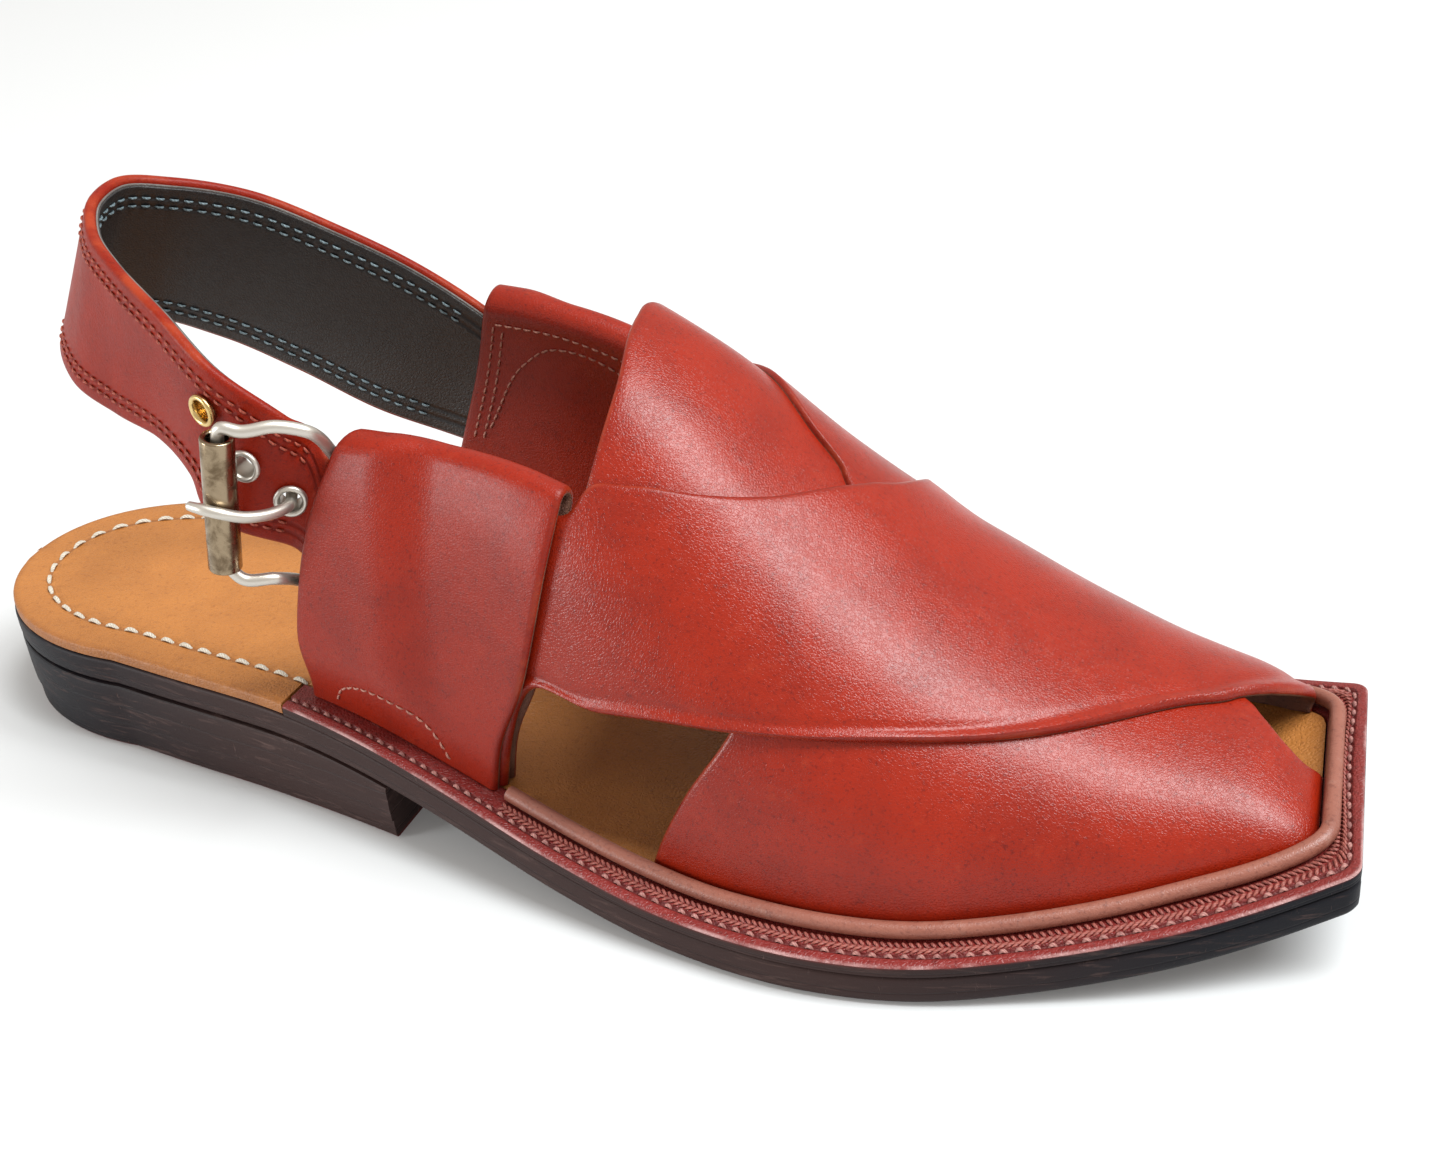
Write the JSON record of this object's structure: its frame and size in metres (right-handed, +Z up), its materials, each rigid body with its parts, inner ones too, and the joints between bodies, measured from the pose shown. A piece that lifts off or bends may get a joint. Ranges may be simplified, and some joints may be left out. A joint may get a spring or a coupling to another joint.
{
  "type": "peshawari chappal",
  "caption": "Closed-front leather sandal for the right foot: wide crossed straps, heel strap with roller buckle, welted sole and low heel.",
  "frame": {"origin": "centre of the bounding box's bottom face, on the floor under the sole", "axes": "+X from heel to toe, +Y towards the inner side of the foot, +Z up"},
  "size_m": [0.2899, 0.1046, 0.1133],
  "materials": {
    "sole_edge": "black inked and waxed edge",
    "insole_leather": "matt tan leather",
    "welt_leather": "oxblood, semi-matt",
    "piping_leather": "brown, semi-matt",
    "red_leather": "polished brown-red grain leather",
    "nickel": "polished nickel plate",
    "brass_eyelet": "polished"
  },
  "bodies": {
    "root": {"outsole": "sole_edge", "heel_block": "sole_edge", "insole": "insole_leather", "welt": "welt_leather", "piping": "piping_leather", "upper": "red_leather", "outer_loop": "red_leather", "inner_loop": "red_leather", "heel_strap": "red_leather", "buckle_frame": "nickel", "buckle_roller": "nickel", "buckle_prong": "nickel", "eyelet_1": "nickel", "eyelet_2": "nickel", "eyelet_3": "brass_eyelet"}
  },
  "joints": []
}
